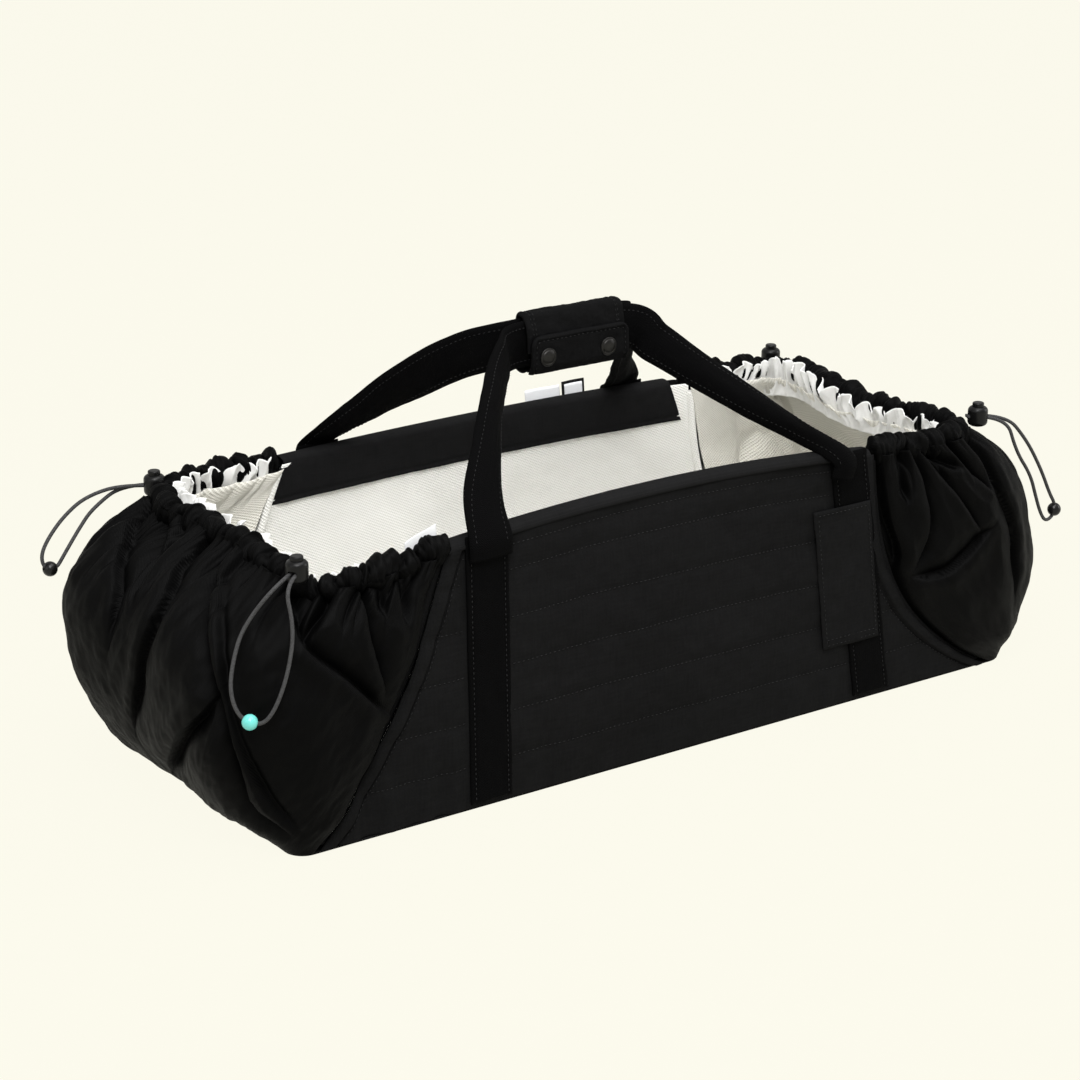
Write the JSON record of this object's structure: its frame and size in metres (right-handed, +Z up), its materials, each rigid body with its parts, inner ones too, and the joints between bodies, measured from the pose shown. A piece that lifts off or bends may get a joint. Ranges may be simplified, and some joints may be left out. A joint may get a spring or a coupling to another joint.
{
  "type": "soft baby carrycot",
  "caption": "Soft padded baby carrycot with upright side walls, puffy ends gathered by drawcords, a mattress, and webbing handles joined by a snapped grip wrap",
  "frame": {"origin": "centre of the base, on the floor it stands on", "axes": "+X along the cot towards the foot end, -Y towards the front wall with the grip's snaps, +Z up"},
  "size_m": [0.8678, 0.3221, 0.344],
  "materials": {
    "base_fabric": "coated",
    "board": "matte",
    "white_mesh": "matte",
    "foam": "matte",
    "black_canvas": "matte",
    "black_facing": "matte",
    "black_puffer": "satin",
    "cream_lining": "matte",
    "white_ruffle": "matte",
    "cord": "matte",
    "lock_plastic": "gloss",
    "spring_steel": "satin",
    "black_bead": "gloss",
    "turquoise_bead": "gloss",
    "webbing": "matte",
    "grip_fabric": "matte",
    "snap_metal": "polished",
    "label": "satin"
  },
  "bodies": {
    "cot": {"base_shell": "base_fabric", "base_board": "board", "mattress_cover": "white_mesh", "front_side_lining": "white_mesh", "back_side_lining": "white_mesh", "mattress_core": "foam", "front_side_foam": "foam", "back_side_foam": "foam", "head_end_wadding": "foam", "foot_end_wadding": "foam", "front_side_shell": "black_canvas", "back_side_shell": "black_canvas", "front_top_facing": "black_facing", "back_top_facing": "black_facing", "head_end_shell": "black_puffer", "foot_end_shell": "black_puffer", "head_rim_casing": "black_puffer", "foot_rim_casing": "black_puffer", "head_end_lining": "cream_lining", "foot_end_lining": "cream_lining", "head_rim_ruffle": "white_ruffle", "foot_rim_ruffle": "white_ruffle", "head_drawcord": "cord", "foot_drawcord": "cord", "head_front_cord": "cord", "head_back_cord": "cord", "foot_front_cord": "cord", "foot_back_cord": "cord", "head_back_bead": "black_bead", "foot_front_bead": "black_bead", "foot_back_bead": "black_bead", "head_front_bead": "turquoise_bead", "front_straps": "webbing", "back_straps": "webbing", "strap_patch": "webbing", "care_label": "label", "side_label": "label"},
    "front_handle": {"front_handle": "webbing"},
    "back_handle": {"back_handle": "webbing", "grip_wrap": "grip_fabric", "snap_studs": "snap_metal"},
    "grip_flap": {"grip_flap": "grip_fabric", "snap_caps": "snap_metal"},
    "head_front_lock": {"head_front_lock_body": "lock_plastic", "head_front_lock_spring": "spring_steel"},
    "head_front_plunger": {"head_front_lock_plunger": "lock_plastic"},
    "head_back_lock": {"head_back_lock_body": "lock_plastic", "head_back_lock_spring": "spring_steel"},
    "head_back_plunger": {"head_back_lock_plunger": "lock_plastic"},
    "foot_front_lock": {"foot_front_lock_body": "lock_plastic", "foot_front_lock_spring": "spring_steel"},
    "foot_front_plunger": {"foot_front_lock_plunger": "lock_plastic"},
    "foot_back_lock": {"foot_back_lock_body": "lock_plastic", "foot_back_lock_spring": "spring_steel"},
    "foot_back_plunger": {"foot_back_lock_plunger": "lock_plastic"}
  },
  "joints": [
    {"name": "front_handle_swing", "type": "hinge", "parent": "cot", "child": "front_handle", "pos_m": [0, -0.1393, 0.2172], "axis": [1, 0, 0], "range_deg": [0, 205], "deforming": ["grip_wrap", "grip_flap"]},
    {"name": "back_handle_swing", "type": "hinge", "parent": "cot", "child": "back_handle", "pos_m": [0, 0.1393, 0.2172], "axis": [-1, 0, 0], "range_deg": [0, 205]},
    {"name": "grip_flap_open", "type": "hinge", "parent": "back_handle", "child": "grip_flap", "pos_m": [0, -0.0178, 0.297], "axis": [1, 0, 0], "range_deg": [0, 150]},
    {"name": "head_front_lock_slide", "type": "slide", "parent": "cot", "child": "head_front_lock", "axis": [-0.8387, -0.5446, 0], "range_m": [0, 0.004]},
    {"name": "head_front_lock_press", "type": "slide", "parent": "head_front_lock", "child": "head_front_plunger", "axis": [0, 0, -1], "range_m": [0, 0.003], "stiffness_N_per_m": 400, "springref_m": -0.001, "deforming": ["head_front_lock_spring"]},
    {"name": "head_back_lock_slide", "type": "slide", "parent": "cot", "child": "head_back_lock", "axis": [-0.7431, 0.6691, 0], "range_m": [0, 0.004]},
    {"name": "head_back_lock_press", "type": "slide", "parent": "head_back_lock", "child": "head_back_plunger", "axis": [0, 0, -1], "range_m": [0, 0.003], "stiffness_N_per_m": 400, "springref_m": -0.001, "deforming": ["head_back_lock_spring"]},
    {"name": "foot_front_lock_slide", "type": "slide", "parent": "cot", "child": "foot_front_lock", "axis": [0.9063, -0.4226, 0], "range_m": [0, 0.004]},
    {"name": "foot_front_lock_press", "type": "slide", "parent": "foot_front_lock", "child": "foot_front_plunger", "axis": [0, 0, -1], "range_m": [0, 0.003], "stiffness_N_per_m": 400, "springref_m": -0.001, "deforming": ["foot_front_lock_spring"]},
    {"name": "foot_back_lock_slide", "type": "slide", "parent": "cot", "child": "foot_back_lock", "axis": [0.4067, 0.9135, 0], "range_m": [0, 0.004]},
    {"name": "foot_back_lock_press", "type": "slide", "parent": "foot_back_lock", "child": "foot_back_plunger", "axis": [0, 0, -1], "range_m": [0, 0.003], "stiffness_N_per_m": 400, "springref_m": -0.001, "deforming": ["foot_back_lock_spring"]}
  ]
}
